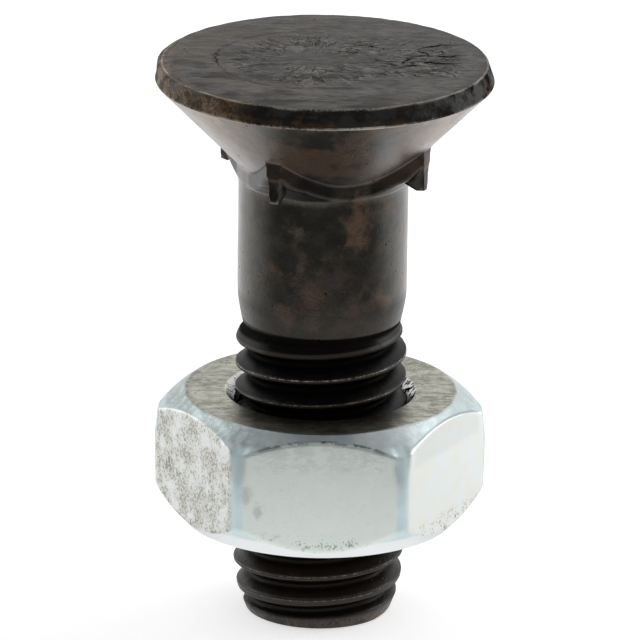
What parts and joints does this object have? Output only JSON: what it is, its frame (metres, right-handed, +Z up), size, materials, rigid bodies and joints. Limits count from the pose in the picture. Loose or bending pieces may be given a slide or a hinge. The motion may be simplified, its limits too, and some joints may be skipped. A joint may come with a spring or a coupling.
{
  "type": "plow bolt",
  "caption": "Countersunk flat-head plow bolt with a short square neck and a metric coarse thread, standing on its threaded end, with a chamfered hex nut run part way up.",
  "frame": {"origin": "centre of the flat threaded end, on the surface that the bolt stands on", "axes": "+Z up the bolt's axis from the threaded end to the head; +X to the right and +Y away, seen square to one flat of the nut"},
  "size_m": [0.0194, 0.0194, 0.0331],
  "materials": {
    "dark_steel": "blackened forged steel, oily, with brown rust stains",
    "zinc_plate": "bright bluish zinc plate, lightly pitted"
  },
  "bodies": {
    "bolt_body": {"bolt": "dark_steel"},
    "nut_body": {"nut": "zinc_plate"}
  },
  "joints": [
    {"name": "nut_spin", "type": "hinge", "parent": "bolt_body", "child": "nut_body", "pos_m": [0, 0, 0.00947], "axis": [0, 0, 1], "range_deg": [-2970, 870]}
  ]
}
